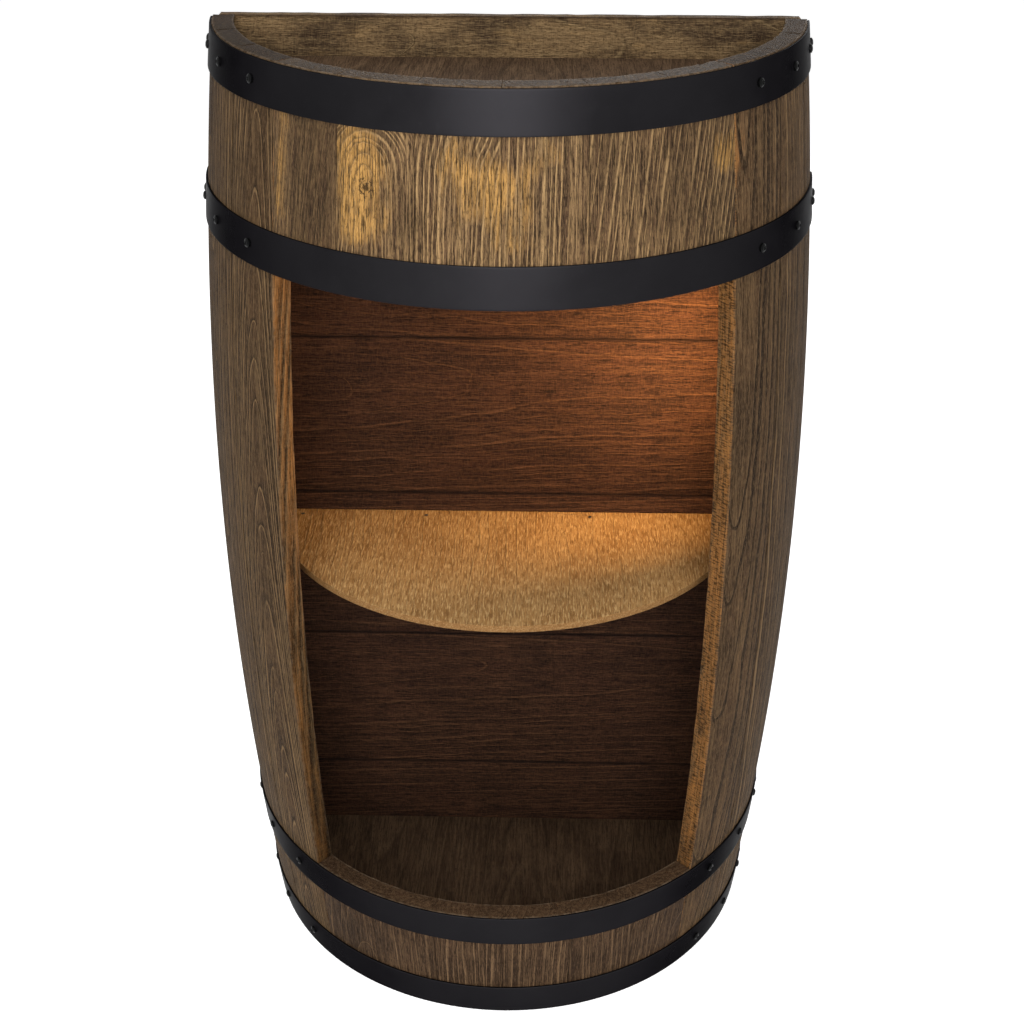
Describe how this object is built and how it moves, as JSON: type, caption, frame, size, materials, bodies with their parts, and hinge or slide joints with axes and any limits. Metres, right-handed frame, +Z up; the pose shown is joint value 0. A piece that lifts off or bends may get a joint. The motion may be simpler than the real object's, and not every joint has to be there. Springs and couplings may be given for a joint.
{
  "type": "wall-mounted bar cabinet",
  "caption": "Half-barrel bar cabinet of dark wood staves with black steel hoops, an open front, a lit shelf compartment, a tray on top and keyholes in its flat back.",
  "frame": {"origin": "middle of the cabinet's box at the bottom, on the surface that the base stands on", "axes": "+Z up along the barrel, +X to the right of someone who faces the cabinet, -Y out of the open front, +Y into the wall"},
  "size_m": [0.4886, 0.2284, 0.8],
  "materials": {
    "side_wood": "dark stain with raised grain, waxed",
    "apron_wood": "dark stain rubbed through to gold, waxed",
    "rim_wood": "dark stain, waxed",
    "back_wood": "rough sawn, dark red-brown stain",
    "head_wood": "brown stain",
    "shelf_wood": "golden-brown stain with fine grain",
    "batten_wood": "plain softwood",
    "hoop_steel": "satin black paint",
    "black_screw": "black oxide with a slight gloss",
    "zinc_steel": "zinc plated",
    "strip_board": "white solder mask",
    "light_chip": "yellow phosphor",
    "lead_jacket": "soft off-white jacket",
    "foam_pad": "white foam tape",
    "box_plastic": "fine-textured dark plastic",
    "cell_jacket": "printed sleeve, plain",
    "contact_steel": "nickel plated",
    "knob_plastic": "grey plastic"
  },
  "bodies": {
    "cabinet": {"stave_left_1": "side_wood", "stave_left_2": "side_wood", "stave_left_3": "side_wood", "stave_right_1": "side_wood", "stave_right_2": "side_wood", "stave_right_3": "side_wood", "stave_upper_1": "apron_wood", "stave_upper_2": "apron_wood", "stave_upper_3": "apron_wood", "stave_upper_4": "apron_wood", "stave_upper_5": "apron_wood", "stave_upper_6": "apron_wood", "stave_lower_1": "rim_wood", "stave_lower_2": "rim_wood", "stave_lower_3": "rim_wood", "stave_lower_4": "rim_wood", "stave_lower_5": "rim_wood", "stave_lower_6": "rim_wood", "back_plank_1": "back_wood", "back_plank_2": "back_wood", "back_plank_3": "back_wood", "back_plank_4": "back_wood", "back_plank_5": "back_wood", "back_plank_6": "back_wood", "lid": "head_wood", "floor_panel": "head_wood", "shelf": "shelf_wood", "shelf_cleat": "batten_wood", "shelf_block_left": "batten_wood", "shelf_block_right": "batten_wood", "hoop_bottom": "hoop_steel", "hoop_lower": "hoop_steel", "hoop_upper": "hoop_steel", "hoop_top": "hoop_steel", "hoop_screws_bottom": "black_screw", "hoop_screws_lower": "black_screw", "hoop_screws_upper": "black_screw", "hoop_screws_top": "black_screw", "plank_screws": "black_screw", "head_brads": "zinc_steel", "cleat_screws": "black_screw", "block_screws": "zinc_steel", "shelf_brads": "zinc_steel", "hanger_left": "zinc_steel", "hanger_right": "zinc_steel", "hanger_screws": "black_screw", "light_strip": "strip_board", "light_chips": "light_chip", "light_lead": "lead_jacket", "battery_pad": "foam_pad", "battery_box": "box_plastic", "battery_cells": "cell_jacket", "battery_contacts": "contact_steel"},
    "battery_cover": {"battery_cover": "box_plastic"},
    "switch_knob": {"switch_knob": "knob_plastic"}
  },
  "joints": [
    {"name": "cover_slide", "type": "slide", "parent": "cabinet", "child": "battery_cover", "axis": [-1, 0, 0], "range_m": [0, 0.05]},
    {"name": "switch_slide", "type": "slide", "parent": "cabinet", "child": "switch_knob", "axis": [-1, 0, 0], "range_m": [0, 0.004]}
  ]
}
